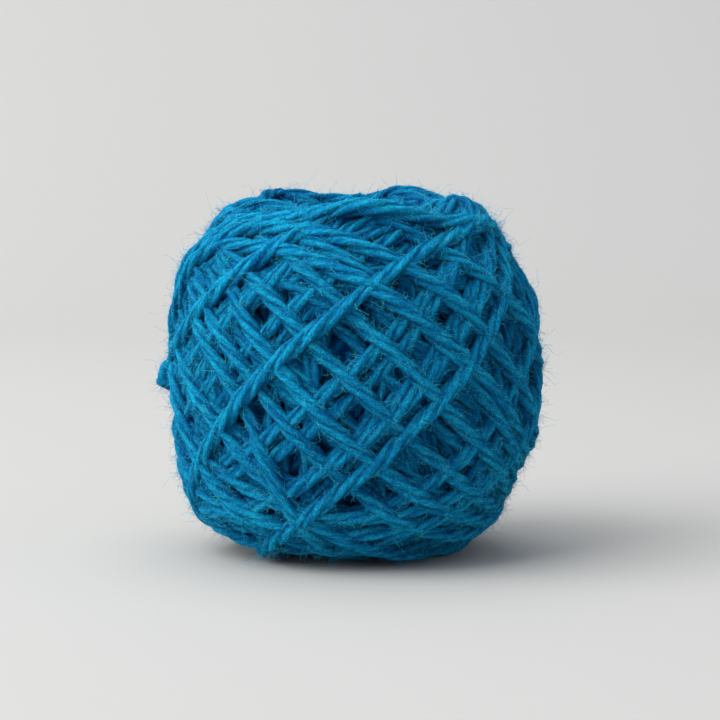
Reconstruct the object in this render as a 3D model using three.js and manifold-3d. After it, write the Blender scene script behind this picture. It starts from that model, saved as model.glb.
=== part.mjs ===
// A ball of thick four-ply wool, wound by hand on the slant. Millimetres, +Z up.
// The origin is on the surface that the ball rests on, under the middle of the ball.
import * as THREE from "three";
import { mergeVertices } from "three/addons/utils/BufferGeometryUtils.js";
import Module from "manifold-3d";

// Driving dimensions
const HALF_WIDTH = 40; // of the ball, across its middle
const HALF_HEIGHT = 39; // of the ball, along its axis
const SQUARENESS = 3.1; // exponent of the barrel form, 2 would be an ellipsoid
const PRESSED = 0.9; // how far the underside is pressed flat where it rests
const YARN = 4.2; // diameter of the yarn

const TOP_RIM = { radius: 24.5, width: 6.5, rise: 4.2 }; // where the wraps turn on top
const RIM_LUMPS = { count: 5, rise: 1.0 }; // the top rim is uneven
const FOOT_RIM = { radius: 27, width: 7, rise: 1.8 }; // where they turn underneath
const DIMPLE = { radius: 14, depth: 9 }; // the hollow that they leave round the axis on top
// Dents where the side is wound less full: the middle of each and its width and height in
// degrees, as around from the front to the right and up from level, and its depth.
const DENTS = [
  { around: 95, up: -37, wide: 55, high: 13, depth: 3.2 },
  { around: 88, up: 46, wide: 35, high: 9, depth: 2.6 },
  { around: -88, up: 49, wide: 40, high: 9, depth: 1.4 },
  { around: -5, up: -58, wide: 45, high: 12, depth: 1.4 },
];
const BED_DEPTH = 2.6; // of the inner wraps' surface below the outer form

const BED_STEPS = { around: 28, up: 14 };
const WRAP_STEPS = { along: 28, around: 6 };

// The main wraps of the outside, in the order in which they were wound. Each lies in a plane
// through the ball: toward is the side that the plane's normal leans to (0 is the front, 90
// the right), tilt is how far it leans from the axis, and shift is how far the wrap lies off
// the middle, all in degrees. Depth is how far its middle lies below the outer form.
const WRAPS = [
  { name: "rise_1", toward: -66, tilt: 47, shift: 8, depth: 3.0 },
  { name: "fall_1", toward: 63, tilt: 45, shift: 8, depth: 2.8 },
  { name: "fall_2", toward: 134, tilt: 40, shift: 2, depth: 2.8 },
  { name: "fall_3", toward: 86, tilt: 45, shift: 5, depth: 2.6 },
  { name: "rise_2", toward: -116, tilt: 40, shift: 13, depth: 2.6 },
  { name: "foot", toward: 5, tilt: 47, shift: 9, depth: 2.6 },
  { name: "edge", toward: 49, tilt: 41, shift: -14, depth: 2.3 },
  { name: "belt", toward: -178, tilt: 49, shift: 10, depth: 2.2 },
  { name: "last_1", toward: -113, tilt: 43, shift: 7, depth: 2.0 },
  { name: "last_2", toward: -74, tilt: 48, shift: -8, depth: 2.0 },
];

// The loose end leaves the last wrap behind the left side, lies round the ball and droops.
// Its points lie on the ball's side: around is the angle from the back toward the left.
const LOOSE_END = [
  { around: 34, height: 48.6, out: -0.8 },
  { around: 42, height: 47.8, out: 0.3 },
  { around: 50, height: 46.4, out: 1.3 },
  { around: 58, height: 44.2, out: 1.3 },
  { around: 65, height: 41.2, out: 1.4 },
  { around: 71, height: 37.6, out: 2.3 },
  { around: 75, height: 33.8, out: 2.7 },
];
const LOOSE_STEPS = { along: 10, around: 8 };

const MIDDLE = HALF_HEIGHT - PRESSED; // height of the ball's middle
const wasm = await Module();
wasm.setup();

// A smooth bump, 1 at the middle and nearly 0 at two widths from it.
function bump(distance) {
  return Math.exp(-(distance ** 2));
}

// The point of the wound form in a direction, a depth below its outside.
function formPoint(direction, depth) {
  const across = Math.hypot(direction.x, direction.y) / (HALF_WIDTH - depth);
  const along = Math.abs(direction.z) / (HALF_HEIGHT - depth);
  const reach = (across ** SQUARENESS + along ** SQUARENESS) ** (-1 / SQUARENESS);
  const point = direction.clone().multiplyScalar(reach);
  const fromAxis = Math.hypot(point.x, point.y);
  if (point.z > 0) {
    const lump = RIM_LUMPS.rise * Math.cos(RIM_LUMPS.count * Math.atan2(point.x, point.y));
    point.z += (TOP_RIM.rise - lump) * bump((fromAxis - TOP_RIM.radius) / TOP_RIM.width);
    point.z -= DIMPLE.depth * bump(fromAxis / DIMPLE.radius);
  } else {
    point.z -= FOOT_RIM.rise * bump((fromAxis - FOOT_RIM.radius) / FOOT_RIM.width);
  }
  const around = THREE.MathUtils.radToDeg(Math.atan2(direction.x, -direction.y));
  const up = THREE.MathUtils.radToDeg(Math.asin(direction.z / direction.length()));
  let dented = 0;
  for (const dent of DENTS) {
    const aside = THREE.MathUtils.euclideanModulo(around - dent.around + 180, 360) - 180;
    dented += dent.depth * bump(aside / dent.wide) * bump((up - dent.up) / dent.high);
  }
  return point.setLength(point.length() - dented);
}

// The closed solid of a geometry.
function solidOf(geometry) {
  const bare = geometry.clone().deleteAttribute("normal").deleteAttribute("uv");
  const merged = mergeVertices(bare, 1e-3);
  const mesh = new wasm.Mesh({
    numProp: 3,
    vertProperties: new Float32Array(merged.attributes.position.array),
    triVerts: new Uint32Array(merged.index.array),
  });
  return new wasm.Manifold(mesh);
}

// The geometry of a solid.
function geometryOf(solid) {
  const mesh = solid.getMesh();
  const geometry = new THREE.BufferGeometry();
  geometry.setAttribute("position", new THREE.BufferAttribute(mesh.vertProperties, 3));
  geometry.setIndex(new THREE.BufferAttribute(mesh.triVerts, 1));
  geometry.computeVertexNormals();
  return geometry;
}

// The bed is the surface of the inner wraps. It comes down to the outer form underneath,
// where the ball's weight presses the wraps together.
function bed() {
  const geometry = new THREE.SphereGeometry(1, BED_STEPS.around, BED_STEPS.up);
  geometry.rotateX(Math.PI / 2);
  const vertices = geometry.attributes.position;
  const direction = new THREE.Vector3();
  for (let i = 0; i < vertices.count; i += 1) {
    direction.fromBufferAttribute(vertices, i).normalize();
    const underneath = THREE.MathUtils.smoothstep(-direction.z, 0.75, 0.95);
    const point = formPoint(direction, BED_DEPTH * (1 - underneath));
    vertices.setXYZ(i, point.x, point.y, point.z);
  }
  return geometry;
}

// One wrap is a torus whose ring is bent on to the form.
function wrap({ toward, tilt, shift, depth }) {
  const lean = THREE.MathUtils.degToRad(toward);
  const angle = THREE.MathUtils.degToRad(tilt);
  const off = THREE.MathUtils.degToRad(shift);
  const normal = new THREE.Vector3(
    Math.sin(angle) * Math.sin(lean),
    -Math.sin(angle) * Math.cos(lean),
    Math.cos(angle),
  );
  const level = new THREE.Vector3(Math.cos(lean), Math.sin(lean), 0);
  const steep = new THREE.Vector3().crossVectors(normal, level);
  const middleAt = (turn) => {
    const direction = new THREE.Vector3()
      .addScaledVector(level, Math.cos(off) * Math.cos(turn))
      .addScaledVector(steep, Math.cos(off) * Math.sin(turn))
      .addScaledVector(normal, Math.sin(off));
    return formPoint(direction, depth);
  };

  const ringRadius = HALF_WIDTH;
  const { along, around } = WRAP_STEPS;
  const geometry = new THREE.TorusGeometry(ringRadius, YARN / 2, around, along);
  const vertices = geometry.attributes.position;
  const ahead = 0.01; // of a turn, in radians, to find the wrap's direction
  for (let i = 0; i < vertices.count; i += 1) {
    const [x, y, z] = [vertices.getX(i), vertices.getY(i), vertices.getZ(i)];
    const turn = Math.atan2(y, x);
    const point = middleAt(turn);
    const forward = middleAt(turn + ahead).sub(middleAt(turn - ahead)).normalize();
    const side = new THREE.Vector3().crossVectors(point, forward).normalize();
    const outward = new THREE.Vector3().crossVectors(forward, side);
    point.addScaledVector(outward, Math.hypot(x, y) - ringRadius);
    point.addScaledVector(side, z);
    vertices.setXYZ(i, point.x, point.y, point.z);
  }
  return geometry;
}

// The ball is the bed and its wraps as one solid, cut flat underneath.
function yarnBall() {
  let ball = solidOf(bed());
  for (const row of WRAPS) ball = ball.add(solidOf(wrap(row)));
  const ground = new THREE.BoxGeometry(4 * HALF_WIDTH, 4 * HALF_WIDTH, HALF_HEIGHT);
  ground.translate(0, 0, -MIDDLE - HALF_HEIGHT / 2);
  const geometry = geometryOf(ball.subtract(solidOf(ground)));
  geometry.computeBoundingBox();
  const centre = geometry.boundingBox.getCenter(new THREE.Vector3());
  geometry.translate(-centre.x, -centre.y, MIDDLE);
  return geometry;
}

// The loose end is a plain tube along a smooth curve.
function looseEnd() {
  const points = LOOSE_END.map(({ around, height, out }) => {
    const angle = THREE.MathUtils.degToRad(around);
    const level = Math.abs(height - MIDDLE) / HALF_HEIGHT;
    const reach = HALF_WIDTH * (1 - level ** SQUARENESS) ** (1 / SQUARENESS) + out;
    return new THREE.Vector3(-reach * Math.sin(angle), reach * Math.cos(angle), height);
  });
  const section = new THREE.Shape();
  section.absarc(0, 0, YARN / 2, 0, 2 * Math.PI);
  return new THREE.ExtrudeGeometry(section, {
    steps: LOOSE_STEPS.along,
    curveSegments: LOOSE_STEPS.around / 2, // a full circle gets two sides for each
    extrudePath: new THREE.CatmullRomCurve3(points),
  });
}

const wool = new THREE.MeshStandardMaterial({ color: 0x0d739b, roughness: 0.95, metalness: 0 });

function piece(name, geometry) {
  const mesh = new THREE.Mesh(geometry, wool.clone());
  mesh.name = name;
  return mesh;
}

const ballOfYarn = new THREE.Group();
ballOfYarn.add(piece("yarn_ball", yarnBall()));
ballOfYarn.add(piece("loose_end", looseEnd()));

export default ballOfYarn;
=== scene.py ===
# %% [markdown]
# # A ball of thick wool yarn
# A hand-wound ball is one length of yarn that goes round and round a growing ball. Each turn
# lies on the slant, crosses the turns under it, and shifts a little from the turn before.
# The plain solid in the frame has the ball's outer form. Here the yarn itself is wound on to
# that form, turn by turn, so that every crossing is a real one.

# %% Load the frame
import math

import bmesh
import bpy
import numpy as np
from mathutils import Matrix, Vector


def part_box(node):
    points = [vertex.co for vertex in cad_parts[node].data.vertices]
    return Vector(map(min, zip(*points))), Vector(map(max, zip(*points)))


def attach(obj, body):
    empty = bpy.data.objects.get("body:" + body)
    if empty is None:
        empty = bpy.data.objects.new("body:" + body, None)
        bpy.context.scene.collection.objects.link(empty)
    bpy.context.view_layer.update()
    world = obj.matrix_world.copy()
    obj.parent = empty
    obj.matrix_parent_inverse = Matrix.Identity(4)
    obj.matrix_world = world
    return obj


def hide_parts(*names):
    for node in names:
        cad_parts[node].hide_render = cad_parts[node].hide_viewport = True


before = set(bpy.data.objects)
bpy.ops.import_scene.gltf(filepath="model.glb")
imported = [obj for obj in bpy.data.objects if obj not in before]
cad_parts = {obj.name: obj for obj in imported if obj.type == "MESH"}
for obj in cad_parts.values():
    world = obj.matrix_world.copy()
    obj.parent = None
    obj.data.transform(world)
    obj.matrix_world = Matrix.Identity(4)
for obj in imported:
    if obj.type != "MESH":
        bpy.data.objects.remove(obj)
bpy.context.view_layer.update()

# %% [markdown]
# ## Sizes
# The yarn is a four-ply wool about 4 mm thick, and thinner where it is wound tight. The
# ball's size could be written down here too, but it is read from the solid in the frame, so
# that the winding always fits the solid.

# %% Sizes
MM = 0.001
YARN = 4.2 * MM  # diameter of the yarn as it lies relaxed
TAUT_YARN = 0.89 * YARN  # its diameter as it is wound, under tension
PLIES = 4
LAY = 29 * MM  # length of yarn in which its plies go round once

ball_low, ball_high = (np.array(corner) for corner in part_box("yarn_ball"))
INSIDE = 0.4 * MM  # the solid's sides stay this far inside the winding's outer form
HALF_WIDTH = (ball_high[0] - ball_low[0]) / 2 + INSIDE
HALF_HEIGHT = (ball_high[2] - ball_low[2]) / 2
PRESSED = 0.9 * MM  # how far the underside is pressed flat
MIDDLE = np.array([0, 0, HALF_HEIGHT - PRESSED])
print("ball", round(2 * HALF_WIDTH / MM, 1), "mm wide and", round(2 * HALF_HEIGHT / MM, 1), "high")

# %% [markdown]
# ## The camera
# It looks at the ball's front from a little above. A short lens close to the ball would make
# its middle bulge, so a long lens is used from further away, which keeps the ball's sides
# nearly straight.

# %% The camera
ELEVATION = math.radians(6)
DISTANCE = 0.6
FOCAL_LENGTH = 139.8  # in millimetres, as the width of the sensor is
SENSOR_WIDTH = 36
AIM = Vector(MIDDLE) + Vector((1.1 * MM, 0, 3.0 * MM))


def add_object(name, data):
    """A new object at the origin, which shows a mesh, a curve, a lamp or a camera."""
    thing = bpy.data.objects.new(name, data)
    bpy.context.scene.collection.objects.link(thing)
    return thing


camera_data = bpy.data.cameras.new("camera")
camera_data.lens = FOCAL_LENGTH
camera_data.sensor_width = SENSOR_WIDTH
camera = add_object("camera", camera_data)
backwards = Vector((0, -math.cos(ELEVATION), math.sin(ELEVATION)))
camera.location = AIM + DISTANCE * backwards
camera.rotation_euler = backwards.to_track_quat("Z", "Y").to_euler()
bpy.context.scene.camera = camera
print("camera at", [round(x, 3) for x in camera.location])

# %% [markdown]
# ## The wound form
# A ball wound on the slant turns squarish: every turn passes the middle steeply and runs
# along the top and bottom rims, so the rims fill up and a dimple stays at each end of the
# axis. The outer form could be measured afterwards from the yarn, but a formula for it lets
# the winding be pressed to the solid's true size.

# %% The wound form
SQUARENESS = 3.1  # exponent of the barrel form, 2 would be an ellipsoid
TOP_RIM = {"radius": 24.5 * MM, "width": 6.5 * MM, "rise": 4.2 * MM}
RIM_LUMPS = {"count": 5, "rise": 2.2 * MM, "turned": 6}  # turned in degrees
FOOT_RIM = {"radius": 27 * MM, "width": 7 * MM, "rise": 1.8 * MM}
DIMPLE = {"radius": 14 * MM, "depth": 9 * MM}
DENTS = [  # (degrees round from the front to the right, degrees up, wide and high, depth)
    (95, -37, 55, 13, 3.2 * MM),
    (88, 46, 35, 9, 2.6 * MM),
    (-88, 49, 40, 9, 1.4 * MM),
    (-5, -58, 45, 12, 1.4 * MM),
]


def bump(distance):
    """A smooth bump, 1 at the middle and nearly 0 at two widths from it."""
    return np.exp(-(distance**2))


def form_radius(directions):
    """How far the outer form reaches from the ball's middle in each direction."""
    across = np.hypot(directions[:, 0], directions[:, 1])
    along = directions[:, 2]
    powers = (across / HALF_WIDTH) ** SQUARENESS + (np.abs(along) / HALF_HEIGHT) ** SQUARENESS
    reach = powers ** (-1 / SQUARENESS)
    from_axis = reach * across
    from_back = np.arctan2(directions[:, 0], directions[:, 1]) + math.radians(RIM_LUMPS["turned"])
    lump = RIM_LUMPS["rise"] * np.cos(RIM_LUMPS["count"] * from_back)
    top = (TOP_RIM["rise"] - lump) * bump((from_axis - TOP_RIM["radius"]) / TOP_RIM["width"])
    top -= DIMPLE["depth"] * bump(from_axis / DIMPLE["radius"])
    foot = FOOT_RIM["rise"] * bump((from_axis - FOOT_RIM["radius"]) / FOOT_RIM["width"])
    height = reach * along + np.where(along > 0, top, -foot)
    reach = np.hypot(from_axis, height)
    around = np.degrees(np.arctan2(directions[:, 0], -directions[:, 1]))
    up = np.degrees(np.arcsin(along))
    for side, level, wide, high, depth in DENTS:
        beside = (around - side + 180) % 360 - 180
        reach -= depth * bump(beside / wide) * bump((up - level) / high)
    return reach


to_the_top = form_radius(np.array([[0.0, 0.0, 1.0]]))[0]
print("the dimple's bottom is", round((MIDDLE[2] + to_the_top) / MM, 1), "mm above the floor")

# %% [markdown]
# ## The yarn's section
# Four plies lie round each other, so the section is a circle with four shallow grooves. One
# tube with that section, turned a little at each step, makes all four plies at once. Four
# separate tubes would give deeper grooves, but soft wool fills them, so one tube is enough.

# %% The yarn's section
GROOVE = 0.25  # of the yarn's radius


def section(name, sides, radius, groove=0):
    """A round outline to sweep along a line, with a groove beside each ply if asked for."""
    curve = bpy.data.curves.new(name, "CURVE")
    outline = curve.splines.new("POLY")
    outline.points.add(sides - 1)
    for i, point in enumerate(outline.points):
        angle = -2 * math.pi * i / sides  # clockwise, so that the faces of the sweep look outwards
        reach = radius * (1 - groove * (0.5 + 0.5 * math.cos(PLIES * angle)))
        point.co = (reach * math.cos(angle), reach * math.sin(angle), 0, 1)
    outline.use_cyclic_u = True
    return add_object(name, curve)


fine_section = section("fine_section", sides=16, radius=TAUT_YARN / 2, groove=GROOVE)
plain_section = section("plain_section", sides=8, radius=TAUT_YARN / 2, groove=GROOVE)
print("sections", round(TAUT_YARN / MM, 2), "mm across")

# %% [markdown]
# ## Painted shade between the strands
# Wool is palest on the crests of the outer strands and turns a deep blue in the gaps, where
# light meets blue wool again and again before it gets out. The renderer finds a part of
# that. The rest is painted shade, kept in each mesh as an attribute, from the depth under the
# outer form and from where a face looks, and the wool's colour is darkened by it.

# %% Painted light and shade between the strands
GLOOM = 5.5 * MM  # the depth at which the painted shade between the strands is full
CREST_CONTRAST = 1.7  # how fast painted shade darkens a strand from its crest down its sides


def store_painted_light(mesh):
    """Store painted light: 1 on an outer strand's crest, 0 (full painted shade) deep in the gaps.
    """
    places, normals = np.empty((2, len(mesh.vertices), 3))
    mesh.vertices.foreach_get("co", places.ravel())
    mesh.vertex_normals.foreach_get("vector", normals.ravel())
    outward = places - MIDDLE
    distance = np.linalg.norm(outward, axis=1)
    outward /= distance[:, None]
    depth = (form_radius(outward) - distance) / GLOOM
    crest = 0.5 + 0.5 * (normals * outward).sum(1)
    # Painted shade: darker with the depth under the outer form and down each strand's sides.
    values = np.clip(1 - depth, 0, 1) * crest.clip(0, 1) ** CREST_CONTRAST
    mesh.attributes.new("painted_light", "FLOAT", "POINT").data.foreach_set("value", values)


# %% [markdown]
# ## A strand
# A curve that sweeps the section along itself makes a strand. Its tilt, which grows with the
# length, twists the plies. Skinning rings of vertices by hand would give the same tube, but
# the curve also lays out coordinates along the yarn and round it, which the wool needs.

# %% Sweep a section along a line
def lengths_along(points):
    """The length of a line up to each of its points."""
    return np.r_[0, np.cumsum(np.linalg.norm(np.diff(points, axis=0), axis=1))]


def new_sweep(name, outline):
    """A curve that sweeps an outline along its lines."""
    curve = bpy.data.curves.new(name, "CURVE")
    curve.dimensions = "3D"
    curve.twist_mode = "MINIMUM"
    curve.bevel_mode = "OBJECT"
    curve.bevel_object = outline
    return curve


def add_line(curve, points, widths):
    """Add a line to a curve, with the size of the outline at each of its points."""
    knots = curve.splines.new("POLY").points
    knots.add(len(points) - 1)
    knots.foreach_set("co", np.c_[points, np.ones(len(points))].ravel())
    knots.foreach_set("radius", np.broadcast_to(widths, len(points)))
    return knots


def swept_mesh(curve):
    """The mesh that a curve makes, in the curve's place."""
    sweep = add_object(curve.name, curve)
    depsgraph = bpy.context.evaluated_depsgraph_get()
    mesh = bpy.data.meshes.new_from_object(sweep.evaluated_get(depsgraph))
    bpy.data.objects.remove(sweep)
    bpy.data.curves.remove(curve)
    return mesh


def count_triangles(mesh):
    return sum(len(polygon.vertices) - 2 for polygon in mesh.polygons)


# %% A strand
def strand(name, points, outline, ends=False, widths=1.0):
    """A length of yarn as a mesh, with its plies twisted to the left."""
    curve = new_sweep(name, outline)
    curve.use_fill_caps = ends
    lengths = lengths_along(points)
    knots = add_line(curve, points, widths)
    knots.foreach_set("tilt", -2 * math.pi * lengths / LAY)
    mesh = swept_mesh(curve)
    marks = mesh.uv_layers[0].data  # u goes along the strand, and v goes round it once
    uv = np.empty(2 * len(marks))
    marks.foreach_get("uv", uv)
    uv[0::2] *= lengths[-1] / YARN
    marks.foreach_set("uv", uv)
    store_painted_light(mesh)
    mesh.shade_smooth()
    print(name, round(lengths[-1], 2), "m of yarn,", count_triangles(mesh), "triangles")
    return add_object(name, mesh)


# %% [markdown]
# ## The loose end
# The last turn leaves the ball behind its left side, lies round it and droops. A simulated
# rope could find its own way down, but so short an end lies as it was left, so its route is
# a few points. Off the ball it isn't stretched, so it swells to its relaxed thickness, and
# its cut end spreads a little and is round and soft.

# %% The loose end's route
LOOSE_END = [  # (degrees round from the back to the left, height, out from the ball's side)
    (34, 48.6 * MM, -0.8 * MM),
    (42, 47.8 * MM, 0.3 * MM),
    (50, 46.4 * MM, 1.3 * MM),
    (58, 44.2 * MM, 1.3 * MM),
    (65, 41.2 * MM, 1.4 * MM),
    (71, 37.6 * MM, 2.3 * MM),
    (75, 33.8 * MM, 2.7 * MM),
]
LOOSE_STEPS = 90  # in its whole length


def side_point(around, height, out):
    """A point beside the ball, where the ball's side is a superellipse."""
    level = abs(height - MIDDLE[2]) / HALF_HEIGHT
    reach = HALF_WIDTH * (1 - level**SQUARENESS) ** (1 / SQUARENESS) + out
    angle = math.radians(around)
    return np.array([-reach * math.sin(angle), reach * math.cos(angle), height])


def smooth_through(knots, values, places):
    """A smooth curve that has the given values at its knots, at any places along it."""
    rates = np.gradient(values, knots, axis=0)
    before = np.clip(np.searchsorted(knots, places, side="right") - 1, 0, len(knots) - 2)
    span = (knots[before + 1] - knots[before])[:, None]
    part = (places - knots[before])[:, None] / span
    rise = 3 * part**2 - 2 * part**3
    return (
        values[before] * (1 - rise)
        + values[before + 1] * rise
        + rates[before] * span * (part**3 - 2 * part**2 + part)
        + rates[before + 1] * span * (part**3 - part**2)
    )


route = np.array([side_point(*row) for row in LOOSE_END])
places = np.linspace(0, len(route) - 1, LOOSE_STEPS + 1)
loose_line = smooth_through(np.arange(len(route)), route, places)
loose_lengths = lengths_along(loose_line)
loose_length = loose_lengths[-1]
print("loose end", round(loose_length / MM, 1), "mm long")

# %% The loose end
SWELLING = 5 * MM  # the length in which it swells
SPREADING = {"length": 8 * MM, "width": 1.7}  # of its cut end
TIP = {"length": 2 * MM, "rounding": 0.9}  # a rounding of 1 would end in a point

swell = np.interp(loose_lengths, [0, SWELLING], [1, YARN / TAUT_YARN])
spread_from = loose_length - SPREADING["length"]
swell *= np.interp(loose_lengths, [spread_from, loose_length], [1, SPREADING["width"]])
in_tip = np.interp(loose_lengths, [loose_length - TIP["length"], loose_length], [0, 1])
rounding = np.sqrt(1 - TIP["rounding"] * in_tip**2)
loose_end = strand("loose_yarn", loose_line, fine_section, ends=True, widths=swell * rounding)
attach(loose_end, "root")
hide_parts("loose_end")

# %% [markdown]
# ## The plan of the turns
# A turn lies almost in a plane. Three angles place it: the side that the plane's normal
# leans to, counted on from turn to turn, how far it leans, and how far the turn lies off the
# ball's middle. The inner turns step round evenly with small errors, as a hand makes them.
# The outer turns are placed one by one, because they are the ones that show.

# %% The plan of the turns
OUTER_TURNS = [  # (moment in turns, lean, tilt and shift in degrees), in the order of winding
    (0, 247, 37, 18),
    (1, 263, 40, 38),
    (2, 276, 45, 10),
    (3, 294, 47, 17),
    (4, 291, 48, 5),
    (5, 301, 50, 11),
    (6, 335, 56, 2),
    (7, 338, 47, 7),
    (8, 360, 42, 5),
    (9, 375, 50, -5),
    (10, 358, 58, 14),
    (11, 415, 43, -16),
    (12, 422, 50, 0),
    (13, 421, 47, 9),
    (14, 440, 59, -26),
    (15, 450, 49, 2),
    (16, 466, 47, 5),
    (17, 490, 50, 0),
    (18, 498, 44, -2),
    (19, 502, 44, 6),
    (20, 504, 47, 14),
    (21, 586, 45, 20),
    (21.5, 588, 62, 4),
    (22, 606, 45, 5),
    (22.5, 609, 52, -7),
    (23, 613, 33, -29),
    (23.25, 634, 41, 5),
    (23.75, 527, 48, 0),
    (24, 531, 20, 34),
    (24.5, 549, 39, 29),
    (25, 538, 38, 15),
    (25.3, 604, 41, 14),
    (25.6, 700, 30, 2),
]
INNER_TURNS = 58  # their angles are in degrees too
INNER_LEAN = {"step": 21, "error": 3}  # from turn to turn
INNER_SHIFT = 2
STEEP_TURNS = 32  # the first ones, which cross the ball's ends, as one in four does later
STEEP = {"least_tilt": 66, "most_tilt": 94, "shift_error": 9}
SLANTING = {"tilt": 47, "tilt_error": 2.5, "shift_error": 6}
FILLING_SHIFTS = {-10: 2, -9: 6, -7: 5, -1: 10}  # of late turns that fill gaps in the outer ones
rng = np.random.default_rng(7)

first_lean = OUTER_TURNS[0][1]
inner_plan = []
for k in range(INNER_TURNS):
    lean = first_lean - INNER_LEAN["step"] * (INNER_TURNS - k) + rng.normal(0, INNER_LEAN["error"])
    one_in_four = k % 4 == 1 and k < INNER_TURNS - 4
    if k < STEEP_TURNS or one_in_four:
        tilt = rng.uniform(STEEP["least_tilt"], STEEP["most_tilt"])
        shift = rng.normal(INNER_SHIFT, STEEP["shift_error"])
    else:
        tilt = rng.normal(SLANTING["tilt"], SLANTING["tilt_error"])
        shift = rng.normal(INNER_SHIFT, SLANTING["shift_error"])
    inner_plan.append((k - INNER_TURNS, lean, tilt, shift))
for moment, shift in FILLING_SHIFTS.items():
    inner_plan[moment] = (*inner_plan[moment][:2], SLANTING["tilt"], shift)

plan = np.array(inner_plan + OUTER_TURNS, float)
plan_moments = plan[:, 0] + INNER_TURNS
plan_angles = np.radians(plan[:, 1:])
last_moment = plan_moments[-1]
print(round(last_moment, 1), "turns")


# %% From the plan to directions
def plan_at(moments):
    """Lean, tilt and shift at any moments of the winding, on a smooth curve through the plan."""
    return smooth_through(plan_moments, plan_angles, np.clip(moments, 0, last_moment))


def planes(angles):
    """The normal of a turn's plane, and the level and the steep direction in the plane."""
    lean, tilt = angles[:, 0], angles[:, 1]
    normal = np.stack([np.sin(tilt) * np.sin(lean), -np.sin(tilt) * np.cos(lean), np.cos(tilt)], 1)
    level = np.stack([np.cos(lean), np.sin(lean), np.zeros_like(lean)], 1)
    return normal, level, np.cross(normal, level)


def turn_directions(moments):
    """The direction in which the yarn lies from the ball's middle at moments of the winding."""
    angles = plan_at(moments)
    normal, level, steep = planes(angles)
    around = (2 * math.pi * moments - angles[:, 0] - math.pi / 2)[:, None]
    shift = angles[:, 2:]
    in_plane = np.cos(around) * level + np.sin(around) * steep
    return np.cos(shift) * in_plane + np.sin(shift) * normal


# %% [markdown]
# ## Winding the ball
# The ball's surface is kept as a cloud of spots, each with its distance from the middle. A
# new turn finds the spots under it, rests on the highest of them as a round strand does, is
# pulled straight across the hollows by its tension, and then raises the spots that it
# covers. A physics simulation could do the same, but this takes seconds and never tangles.

# %% The ball's surface as a cloud of spots
SPOTS = 60000
CORE_SHARE = 0.77  # the size at which this winding starts, as a share of the finished ball
GUESSES = 3  # the plane moves on while the yarn goes round, so each guess mends the last

spot_number = np.arange(SPOTS) + 0.5
spot_z = 1 - 2 * spot_number / SPOTS
spot_around = spot_number * math.pi * (3 - math.sqrt(5))  # the golden angle spreads them evenly
spot_ring = np.sqrt(1 - spot_z**2)
spots = np.stack([spot_ring * np.cos(spot_around), spot_ring * np.sin(spot_around), spot_z], 1)
spot_turn = np.arctan2(spots[:, 0], -spots[:, 1]) / (2 * math.pi)
spot_form = form_radius(spots)
spot_reach = spot_form * CORE_SHARE
print("the core is", round(2 * spot_reach.max() / MM, 1), "mm across at its widest")


def moments_of_spots(turn):
    """When the yarn of a turn passes each spot, and how far it passes from it."""
    moment = turn + spot_turn
    for _ in range(GUESSES):
        angles = plan_at(moment)
        normal, level, steep = planes(angles)
        around = np.arctan2((spots * steep).sum(1), (spots * level).sum(1))
        share = (around + angles[:, 0] + math.pi / 2) / (2 * math.pi)
        moment = turn + (share - turn + 0.5) % 1 - 0.5
    aside = np.arcsin(np.clip((spots * normal).sum(1), -1, 1)) - angles[:, 2]
    return moment, aside * spot_reach


# %% A taut strand
STEPS = 200  # points of yarn in a turn
CHORD_REACHES = (1, 2, 3, 5, 8, 12)  # points to either side that may carry the strand
PULLS = 6  # each pull straightens what the one before it left


def smooth(values, width):
    """A running mean with a bell-shaped weight."""
    reach = 3 * width
    weights = bump(np.arange(-reach, reach + 1) / width)
    padded = np.pad(values, reach, mode="edge")
    return np.convolve(padded, weights / weights.sum(), mode="valid")


def pulled_straight(rests):
    """The rests and the straight stretches of a taut strand between them."""
    taut = rests.copy()
    for _ in range(PULLS):
        for gap in CHORD_REACHES:
            left, right = taut[: -2 * gap], taut[2 * gap :]
            chord = 2 * left * right * math.cos(2 * math.pi * gap / STEPS) / (left + right)
            taut[gap:-gap] = np.maximum(taut[gap:-gap], chord)
    return taut


# %% Wind the ball
INNER_GRIP = 0.25 * YARN  # the radius that a buried strand keeps between the others
OUTER_GRIP = 0.33 * YARN
TENSION = 0.6  # how far a strand is pulled straight between its rests
SPRING = 0.35  # how far a strand that crosses a heap of others still stands proud
EASING = 3  # points over which a strand's bends are eased
OVERLAP = 3 * STEPS // 10  # points of the turn before from which a new one is led on

wound_moments, wound_reach = [], []
last_reach = np.full(OVERLAP, HALF_WIDTH * CORE_SHARE + INNER_GRIP)
for turn in range(int(round(last_moment)) + 1):
    grip = INNER_GRIP if turn < INNER_TURNS else OUTER_GRIP
    moment, aside = moments_of_spots(turn)
    near = np.abs(aside) < grip
    bow = np.sqrt(grip**2 - aside[near] ** 2)
    place = np.clip(((moment[near] - turn + 0.5) * STEPS).astype(int), 0, STEPS - 1)
    rests = np.zeros(STEPS)
    np.maximum.at(rests, place, spot_reach[near] + bow)
    moments = turn - 0.5 + (np.arange(STEPS) + 0.5) / STEPS
    even = form_radius(turn_directions(moments)) * (spot_reach / spot_form).mean() + grip
    rests = np.minimum(rests, even + SPRING * (rests - even).clip(0))
    lying = np.concatenate([last_reach, smooth(rests, EASING)])
    lying += TENSION * (pulled_straight(lying) - lying)
    lying = smooth(lying, EASING)[OVERLAP:]
    raised = np.interp(moment[near], moments, lying) + bow
    spot_reach[near] = np.maximum(spot_reach[near], raised)
    wound_moments.append(moments)
    wound_reach.append(lying)
    last_reach = lying[-OVERLAP:]

wound_moments = np.concatenate(wound_moments)
wound_reach = np.concatenate(wound_reach)
print("wound to", round(spot_reach.max() / MM, 1), "mm from the middle")

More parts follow.
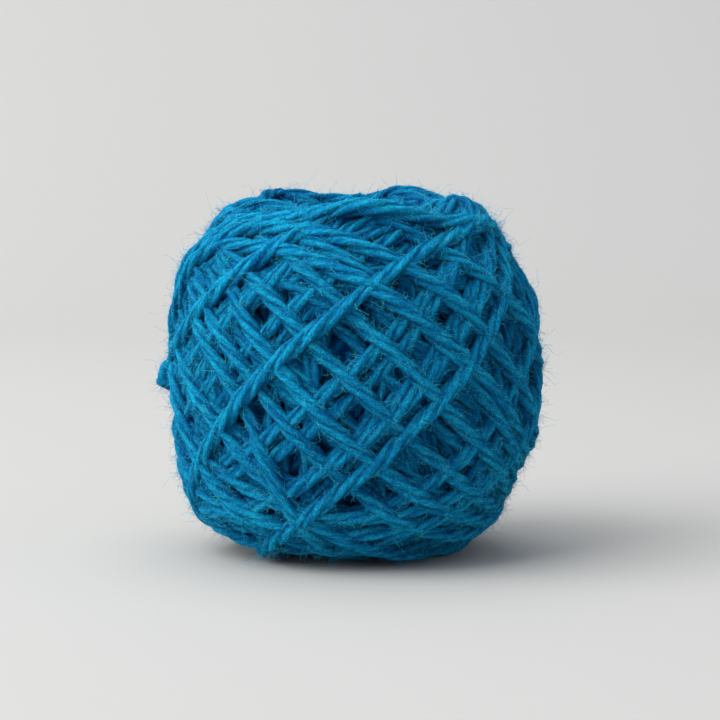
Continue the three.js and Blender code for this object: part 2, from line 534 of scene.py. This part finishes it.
# %% [markdown]
# ## Pressing the ball
# The hands that wind a ball also press it into shape. The cloud of spots shows how far the
# winding reaches round each marker, and all the yarn there is moved by the same share to the
# outer form. Moving every strand to the form by itself would be simpler, but it would
# flatten the crossings. Only strands that still stand proud or sink are moved further.

# %% Press the winding to the outer form
MARKER_STEP = 150  # from one marker among the spots to the next
PATCH = math.radians(12)  # the radius of the patch of spots that is measured round a marker
CREST_LEVEL = 85  # per cent of a patch's spots lie lower than its crests
BLENDING = math.radians(8)  # how wide a marker's pressing is spread
PROUD = {"past": 0.3 * MM, "pressed": 0.7}  # a share of what stands out past this is pressed in
SUNK = {"past": 3 * MM, "lifted": 0.5}


def crest_reach(marker):
    """How far the crests of the winding reach round a marker."""
    patch = spots @ marker > math.cos(PATCH)
    return np.percentile(spot_reach[patch], CREST_LEVEL)


markers = spots[MARKER_STEP // 2 :: MARKER_STEP]
pressing = form_radius(markers) / np.array([crest_reach(marker) for marker in markers])
print("pressed by", round(pressing.min(), 3), "to", round(pressing.max(), 3))

used = wound_moments <= last_moment
wound_moments, wound_reach = wound_moments[used], wound_reach[used]
directions = turn_directions(wound_moments)
outer_form = form_radius(directions)
weights = np.exp((directions @ markers.T - 1) / BLENDING**2)
reach = wound_reach * (weights @ pressing) / weights.sum(1)
proud = reach + TAUT_YARN / 2 - outer_form - PROUD["past"]
reach -= PROUD["pressed"] * proud.clip(0)
sunk = outer_form - reach - SUNK["past"]
reach += SUNK["lifted"] * sunk.clip(0)
line = directions * reach[:, None] + MIDDLE

# %% Lead the last stretch to the loose end
LAST_STRETCH = 3 * STEPS // 10  # points of yarn

missing = route[0] - line[-1]
share = np.linspace(0, 1, LAST_STRETCH)[:, None]
line[-LAST_STRETCH:] += share**2 * missing
print("led", round(np.linalg.norm(missing) / MM, 1), "mm aside to the loose end")

# %% [markdown]
# ## The wound pieces
# Hand-spun wool is never quite even, so its thickness and its line wander a little. No
# strand reaches below the floor, which flattens the ball's foot. The yarn is one length, and
# one mesh of it would be too heavy to handle, so it is cut into four pieces that meet end to
# end. The inner turns only show in the gaps, so they have a plainer section and fewer points.

# %% Make the yarn uneven
UNEVEN = {"width": 0.06, "sway": 0.15 * MM, "every": 7, "easing": 2}  # the last two in points


def wandering(count):
    """Values that wander smoothly round 0, about 1 large."""
    places = np.arange(count // UNEVEN["every"] + 2) * UNEVEN["every"]
    values = np.interp(np.arange(count), places, rng.normal(0, 1, len(places)))
    return smooth(values, UNEVEN["easing"])


def unit(vectors):
    """Vectors of length 1 in the same directions."""
    return vectors / np.linalg.norm(vectors, axis=1)[:, None]


sway = UNEVEN["sway"] * wandering(len(line))
line += sway[:, None] * unit(np.cross(directions, np.gradient(line, axis=0)))
thickness = 1 + UNEVEN["width"] * wandering(len(line))
line[:, 2] = np.maximum(line[:, 2], 0.5 * TAUT_YARN * thickness)
print("yarn", round(thickness.min(), 2), "to", round(thickness.max(), 2), "times its thickness")

# %% Cut the winding into pieces
WOUND_PIECES = [  # (name, the turn that it starts with, points from step to step, section)
    ("inner_turns", 0, 2, plain_section),
    ("middle_turns", INNER_TURNS - 2, 1, fine_section),
    ("outer_turns", INNER_TURNS + 8, 1, fine_section),
    ("last_turns", INNER_TURNS + 17, 1, fine_section),
]

starts = [row[1] * STEPS for row in WOUND_PIECES]
stops = starts[1:] + [len(line)]
wound_pieces = []
for (name, _, step, outline), start, stop in zip(WOUND_PIECES, starts, stops):
    stretch = slice(start, stop + 1, step)
    wound_pieces.append(strand(name, line[stretch], outline, widths=thickness[stretch]))

# %% [markdown]
# ## Nodes written as arithmetic
# A material's pattern is worked out by nodes. They could be added and linked one by one, but
# a small class lets them be written as sums and products, which keeps the maths readable.

# %% A class that writes nodes as arithmetic
class Shade:
    """A socket in a material's nodes. Arithmetic on it adds the nodes that work it out."""

    def __init__(self, tree, socket=None):
        self.tree = tree
        self.socket = socket

    def make(self, kind, settings, inputs, output=0):
        """A new node: its settings come first, then the values or links of its sockets."""
        node = self.tree.nodes.new(kind)
        for name, setting in settings.items():
            setattr(node, name, setting)
        for name, value in inputs.items():
            if isinstance(value, Shade):
                self.tree.links.new(value.socket, node.inputs[name])
            else:
                node.inputs[name].default_value = value
        return Shade(self.tree, node.outputs[output])

    def feed(self, shader, name):
        """Link this value to one of the shader's sockets."""
        self.tree.links.new(self.socket, shader.inputs[name])

    def maths(self, operation, *values):
        return self.make("ShaderNodeMath", {"operation": operation}, dict(enumerate(values)))

    def __add__(self, other):
        return self.maths("ADD", self, other)

    def __sub__(self, other):
        return self.maths("SUBTRACT", self, other)

    def __rsub__(self, other):
        return self.maths("SUBTRACT", other, self)

    def __mul__(self, other):
        return self.maths("MULTIPLY", self, other)

    def __pow__(self, other):
        return self.maths("POWER", self, other)

    __radd__ = __add__
    __rmul__ = __mul__

    def sine(self):
        return self.maths("SINE", self)

    def cosine(self):
        return self.maths("COSINE", self)

    def higher(self, other):
        return self.maths("MAXIMUM", self, other)

    def between(self, low, high):
        """0 up to low, 1 from high on, and a smooth change between them."""
        settings = {"interpolation_type": "SMOOTHSTEP", "clamp": True}
        return self.make("ShaderNodeMapRange", settings, {0: self, 1: low, 2: high})

    def ridge(self, width):
        """1 where a value that wanders round a half crosses it, and 0 off that line."""
        return 1 - self.maths("ABSOLUTE", self - 0.5).between(0, width)

    def coordinates(self, kind):
        """The place on a piece, in its Object or its UV coordinates."""
        return self.make("ShaderNodeTexCoord", {}, {}, output=kind)

    def parts(self):
        """The three parts of a vector."""
        split = self.make("ShaderNodeSeparateXYZ", {}, {0: self}).socket.node
        return [Shade(self.tree, part) for part in split.outputs]

    def vector(self, x, y, z):
        """A vector of three values."""
        return self.make("ShaderNodeCombineXYZ", {}, {0: x, 1: y, 2: z})

    def noise(self, scale, detail=2.0, roughness=0.5):
        """Noise at this point."""
        inputs = {"Vector": self, "Scale": scale, "Detail": detail, "Roughness": roughness}
        return self.make("ShaderNodeTexNoise", {}, inputs)

    def mixed(self, first, second):
        """A colour that goes from the first to the second as this value goes from 0 to 1."""
        settings = {"data_type": "RGBA"}
        return self.make("ShaderNodeMix", settings, {0: self, 6: first, 7: second}, output=2)

    def bumped(self, depth):
        """The normal of a surface that this height raises, by the depth at 1."""
        inputs = {"Strength": 1.0, "Distance": depth, "Height": self}
        return self.make("ShaderNodeBump", {}, inputs)


def new_material(name, constants):
    """A material, its shader with some sockets set, and a Shade to start its nodes from."""
    material = bpy.data.materials.new(name)
    material.use_nodes = True
    shader = material.node_tree.nodes["Principled BSDF"]
    for socket, value in constants.items():
        shader.inputs[socket].default_value = value
    return material, shader, Shade(material.node_tree)


# %% [markdown]
# ## Wool
# Dyed wool is matt and deep in colour. Its fibres lie along the plies and catch the light as
# fine pale streaks, and painted shade darkens the colour in the grooves between the plies. A
# picture of wool could be wrapped round the strands, but it would stretch and repeat. Noise
# that reads the yarn's own lengthwise and round-about coordinates never does, and its streaks
# turn with the yarn's twist.

# %% Wool
# The deep blue of painted shade, in the gaps, the grooves and the buried wool.
PAINTED_SHADE_BLUE = (0.001, 0.022, 0.135, 1)
TEAL = (0.002, 0.198, 0.475, 1)
DULL_TEAL = (*(0.68 * part for part in TEAL[:3]), 1)
LIGHT = (0.012, 0.570, 0.800, 1)
SHINE = 0.03  # wool hardly shines
SHEEN = {"Sheen Weight": 0.08, "Sheen Roughness": 0.5, "Sheen Tint": (0.05, 0.65, 0.8, 1)}
WOOL_RELIEF = 0.6 * MM


def round_strand(turn, along, radius, stretch):
    """A point for noise that goes round the strand without a seam."""
    return turn.vector(turn.cosine() * radius, turn.sine() * radius, along * stretch)


def wool_material():
    """Wool on a strand. Its noise follows the yarn, apart from the grain and the stray hairs."""
    constants = {"Roughness": 0.9, "Specular IOR Level": SHINE, **SHEEN}
    material, shader, nodes = new_material("wool", constants)
    place = nodes.coordinates("Object")
    along, around, _ = nodes.coordinates("UV").parts()
    turn = around * (2 * math.pi)
    # Painted light and shade, read from each mesh's attribute.
    painted_light = nodes.make("ShaderNodeAttribute", {"attribute_name": "painted_light"}, {}, output=2)

    # The grooves between the plies wander and fade, because soft wool half fills them.
    ply_point = round_strand(turn, along, 0.8, 0.5)
    wander = ply_point.noise(1.6, detail=1.0) - 0.5
    groove = ((turn + wander * 0.6) * PLIES).cosine() * 0.5 + 0.5
    groove_shows = ply_point.noise(3.2, detail=1.0).between(0.38, 0.6)

    # The fibres lie on a slight slant, and a few single hairs stand out among them.
    fibre_point = round_strand(turn + along * 0.3, along, 1.0, 0.8)
    fibres = fibre_point.noise(7.5, detail=4.0, roughness=0.7)
    wisps = fibre_point.noise(2.6)
    grain = place.noise(2300.0, roughness=0.6)
    patches = round_strand(turn, along, 0.3, 0.35).noise(1.0)
    lying_hairs = fibre_point.noise(3.0, detail=1.0).ridge(0.03)
    stray_hairs = place.noise(430.0, detail=1.0).ridge(0.02)
    hairs = lying_hairs.higher(stray_hairs)

    height = fibres * 0.4 + grain * 0.6 + wisps * 0.4 + hairs * 0.2
    height = height - groove**3 * (groove_shows * 0.5 + 0.7)
    height.bumped(WOOL_RELIEF).feed(shader, "Normal")

    speck = (fibres * 0.35 + grain * 0.65).between(0.34, 0.66)
    body = (wisps * 0.6 + patches * 0.4).between(0.34, 0.64)
    colour = body.mixed(speck.mixed(DULL_TEAL, TEAL), speck.mixed(TEAL, LIGHT))
    # Painted shade: the colour darkens in the grooves between the plies.
    colour = (groove**5 * (groove_shows * 0.4 + 0.25)).mixed(colour, PAINTED_SHADE_BLUE)
    # Painted shade: deep blue in the gaps and down the strands' sides.
    colour = ((1 - painted_light) * 0.9).mixed(colour, PAINTED_SHADE_BLUE)
    colour = (hairs * 0.2).mixed(colour, LIGHT)
    colour.feed(shader, "Base Color")
    print("wool has", len(material.node_tree.nodes), "nodes")
    return material


def finish_piece(piece, material):
    """Give a piece its material and its body, and hide the ball's solid that it stands in for."""
    piece.data.materials.append(material)
    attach(piece, "root")
    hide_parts("yarn_ball")


wool = wool_material()
for piece in wound_pieces:
    finish_piece(piece, wool)
loose_end.data.materials.append(wool)

# %% [markdown]
# ## The first turns
# The yarn's first turns lie so deep in shade that only a dark blue shows of them, here and
# there, between the others. Each could be wound like the rest, but one closed lump, painted the
# deep blue of their shade, does as well, and it keeps daylight from showing through the ball.

# %% The first turns
LUMP_SHARE = 0.85  # of the outer form
RIPPLE = 0.5 * MM

first_turns = bmesh.new()
bmesh.ops.create_icosphere(first_turns, subdivisions=5, radius=1)
for vert in first_turns.verts:
    direction = np.array([vert.co])
    across = math.sin(38 * vert.co.x + 9 * vert.co.z)
    ripple = RIPPLE * across * math.sin(34 * vert.co.y - 12 * vert.co.z)
    vert.co = Vector(direction[0] * (form_radius(direction)[0] * LUMP_SHARE + ripple) + MIDDLE)
lump = bpy.data.meshes.new("first_turns")
first_turns.to_mesh(lump)
first_turns.free()
lump.shade_smooth()
print("first turns", count_triangles(lump), "triangles")

# %% [markdown]
# ## Buried wool
# In the gaps the lump should look like more strands, which slant one way in some patches and
# the other way in the rest. Modelling them would take many triangles that hardly show, so
# their crests are a pattern of colour and bump on the lump. The colour is painted shade:
# deep blue, paler on the crests.

# %% Buried wool
BURIED_RELIEF = 1.2 * MM
STRAND_WANDER = 2 * TAUT_YARN


def buried_wool():
    """Slanting strands, rising in some patches and falling in the others."""
    constants = {"Roughness": 0.95, "Specular IOR Level": SHINE}
    material, shader, nodes = new_material("buried_wool", constants)
    place = nodes.coordinates("Object")
    x, y, z = place.parts()
    sideways = x.maths("ARCTAN2", x, y) * (HALF_WIDTH * LUMP_SHARE)
    wander = place.noise(90.0) * STRAND_WANDER
    across_strands = math.pi / TAUT_YARN * math.sqrt(2)
    rising = ((sideways + z + wander) * across_strands).sine()
    falling = ((sideways - z + wander) * across_strands).sine()
    patch = place.noise(45.0).between(0.49, 0.51)
    crests = rising * patch + falling * (1 - patch)
    grain = place.noise(1800.0)
    # Painted shade: deep blue between the patterned crests, paler on them.
    (crests * 0.35 + grain * 0.9).mixed(PAINTED_SHADE_BLUE, TEAL).feed(shader, "Base Color")
    (crests * 0.5 + grain * 0.3).bumped(BURIED_RELIEF).feed(shader, "Normal")
    return material


finish_piece(add_object("first_turns", lump), buried_wool())

# %% [markdown]
# ## Fuzz
# Thousands of single fibres stand off from woollen yarn, most of them lying nearly flat.
# They blur the outline and soften the gaps. Hair particles would do, but they can't be
# exported with the ball, so each fibre is a thin bent tube in one shared mesh.

# %% Where the fibres stand
OUTER_WOOL = 3.4 * MM  # the depth down to which strands have fibres

all_yarn = np.vstack([line, loose_line])
in_view = np.flatnonzero(outer_form - reach < OUTER_WOOL)
in_view = in_view[in_view > (INNER_TURNS - 3) * STEPS]
in_view = np.r_[in_view, np.arange(len(line) + 1, len(all_yarn))]
print(len(in_view), "of", len(all_yarn), "points of yarn have fibres")


def strand_frames(chosen):
    """The strand's direction and the outward and sideways directions at some of its points."""
    ahead = unit(all_yarn[np.minimum(chosen + 1, len(all_yarn) - 1)] - all_yarn[chosen - 1])
    outward = all_yarn[chosen] - MIDDLE
    outward = unit(outward - (outward * ahead).sum(1)[:, None] * ahead)
    return ahead, outward, np.cross(ahead, outward)


# %% The fibres' paths
LONG_FIBRES = {"count": 9000, "points": 5, "length": 1.8 * MM, "longest": 4.2 * MM}
SHORT_FIBRES = {"count": 33000, "points": 3, "length": 1.1 * MM, "longest": 2.0 * MM}
SHORTEST = 0.5 * MM
LENGTH_SPREAD = 0.4
FIBRE_RADIUS = 0.034 * MM
ROOT = {"depth": 0.25 * MM, "arc": 1.8, "scatter": 0.6 * MM}  # the arc in radians
STANDING = {"values": [0.4, 1.0], "shares": [0.55, 0.45]}  # lying nearly flat, and standing
HEADING = {"along": 1, "any_way": 0.4}
BEND = {"any_way": 0.5, "back": 0.2}
CURL = {"any_way": 0.2, "waves": 6}  # the waves in radians along the fibre


def fibre_paths(count, kind):
    """Bent lines that stand out of the outer strands."""
    chosen = rng.choice(in_view, count)
    ahead, outward, aside = strand_frames(chosen)
    around = rng.uniform(-ROOT["arc"], ROOT["arc"], count)[:, None]
    off = np.cos(around) * outward + np.sin(around) * aside
    root = all_yarn[chosen] + off * (TAUT_YARN / 2 - ROOT["depth"])
    root += ahead * rng.uniform(-ROOT["scatter"], ROOT["scatter"], (count, 1))
    length = kind["length"] * rng.lognormal(0, LENGTH_SPREAD, (count, 1))
    length = np.clip(length, SHORTEST, kind["longest"])
    standing = rng.choice(STANDING["values"], count, p=STANDING["shares"])[:, None]
    heading = standing * off + rng.normal(0, HEADING["along"], (count, 1)) * ahead
    heading = unit(heading + rng.normal(0, HEADING["any_way"], (count, 3)))
    bend = rng.normal(0, BEND["any_way"], (count, 3)) - BEND["back"] * off
    curl = rng.normal(0, CURL["any_way"], (count, 3))
    shares = np.linspace(0, 1, kind["points"])[None, :, None]
    paths = shares * heading[:, None] + shares**2 * bend[:, None]
    paths += np.sin(CURL["waves"] * shares) * curl[:, None]
    paths = root[:, None] + length[:, None] * paths
    paths[:, :, 2] = np.maximum(paths[:, :, 2], FIBRE_RADIUS)
    return paths


# %% Fuzz
FUZZ_SHARES = ("first", "second")  # the fibres of each kind are shared out over two pieces
FIBRE_TIP = 0.5  # the tip's thickness as a share of the root's
# The pale fibres' tone is partly painted sheen, the light that shines through fine fibres.
PALE_FIBRE_AND_PAINTED_SHEEN = (0.06, 0.60, 0.74, 1)


def fuzz_material():
    """Single fibres, some pale with painted sheen and some as deep in colour as the yarn."""
    constants = {"Roughness": 0.8, "Specular IOR Level": SHINE}
    material, shader, nodes = new_material("wool_fibres", constants)
    tone = nodes.coordinates("Object").noise(400.0, detail=1.0).between(0.35, 0.65)
    tone.mixed(TEAL, PALE_FIBRE_AND_PAINTED_SHEEN).feed(shader, "Base Color")
    return material


def fuzz(name, kind, material):
    """One piece of fuzz, with its share of the fibres of a kind."""
    paths = fibre_paths(kind["count"] // len(FUZZ_SHARES), kind)
    thickness = np.linspace(1.0, FIBRE_TIP, kind["points"])
    curve = new_sweep(name, fibre_section)
    for path in paths:
        add_line(curve, path, thickness)
    piece = add_object(name, swept_mesh(curve))
    finish_piece(piece, material)
    print(name, len(paths), "fibres,", count_triangles(piece.data), "triangles")


fibre_section = section("fibre_section", sides=3, radius=FIBRE_RADIUS)
fibre_finish = fuzz_material()
for share in FUZZ_SHARES:
    fuzz(share + "_long_fuzz", LONG_FIBRES, fibre_finish)
    fuzz(share + "_short_fuzz", SHORT_FIBRES, fibre_finish)
for outline in (fine_section, plain_section, fibre_section):
    bpy.data.objects.remove(outline)

# %% [markdown]
# ## The floor
# The ball stands on a pale floor that curves up into a pale wall behind it. A plane and a
# wall would be simpler, but the line where they meet would show. The sheet is extruded from
# its profile, because it is no part of the object.

# %% The floor
FLOOR = {"half_width": 2.0, "front": -1.2, "back": 0.5, "sweep": 0.5, "height": 1.5, "steps": 12}
FLOOR_COLOUR = (0.452, 0.443, 0.424, 1)


def floor_point(back, height):
    """A point of the floor's profile, at its left edge."""
    return Vector((-FLOOR["half_width"], back, height))


profile = [floor_point(FLOOR["front"], 0), floor_point(FLOOR["back"], 0)]
for step in range(1, FLOOR["steps"] + 1):
    angle = math.pi / 2 * step / FLOOR["steps"]
    back = FLOOR["back"] + FLOOR["sweep"] * math.sin(angle)
    profile.append(floor_point(back, FLOOR["sweep"] * (1 - math.cos(angle))))
profile.append(profile[-1] + Vector((0, 0, FLOOR["height"])))

floor_mesh = bmesh.new()
corners = [floor_mesh.verts.new(point) for point in profile]
edges = [floor_mesh.edges.new(pair) for pair in zip(corners[:-1], corners[1:])]
swept = bmesh.ops.extrude_edge_only(floor_mesh, edges=edges)
moved = [item for item in swept["geom"] if isinstance(item, bmesh.types.BMVert)]
bmesh.ops.translate(floor_mesh, vec=(2 * FLOOR["half_width"], 0, 0), verts=moved)
floor_data = bpy.data.meshes.new("floor")
floor_mesh.to_mesh(floor_data)
floor_mesh.free()
floor_data.shade_smooth()
pale = {"Base Color": FLOOR_COLOUR, "Roughness": 0.9}
floor_data.materials.append(new_material("pale_floor", pale)[0])
floor = add_object("floor", floor_data)
print("floor of", len(floor_data.polygons), "faces")

# %% [markdown]
# ## The light
# Daylight comes from a wide window at the left, a little in front of the ball, and a weaker
# light comes down from behind it. One strong lamp would give the same direction but hard
# shadows, so both are large area lights, and a pale world fills the shadows.

# %% The light
LIGHTS = [  # (name, place, size, power in watts)
    ("window", (-1.0, -0.42, 0.92), 1.4, 28.5),
    ("ceiling", (-0.2, 0.4, 1.6), 1.5, 15),
]
LIGHT_COLOUR = (1.0, 1.0, 0.98)
ROOM = {"Color": (0.88, 0.97, 1.12, 1), "Strength": 0.55}

for name, place, size, power in LIGHTS:
    light = bpy.data.lights.new(name, "AREA")
    light.size = size
    light.energy = power
    light.color = LIGHT_COLOUR
    lamp = add_object(name, light)
    lamp.location = place
    lamp.rotation_euler = (Vector(place) - Vector(MIDDLE)).to_track_quat("Z", "Y").to_euler()
    print(name, "light,", round((Vector(place) - Vector(MIDDLE)).length, 2), "m away")

world = bpy.data.worlds.new("room")
world.use_nodes = True
for socket, value in ROOM.items():
    world.node_tree.nodes["Background"].inputs[socket].default_value = value
bpy.context.scene.world = world
bpy.context.scene.view_settings.view_transform = "Standard"
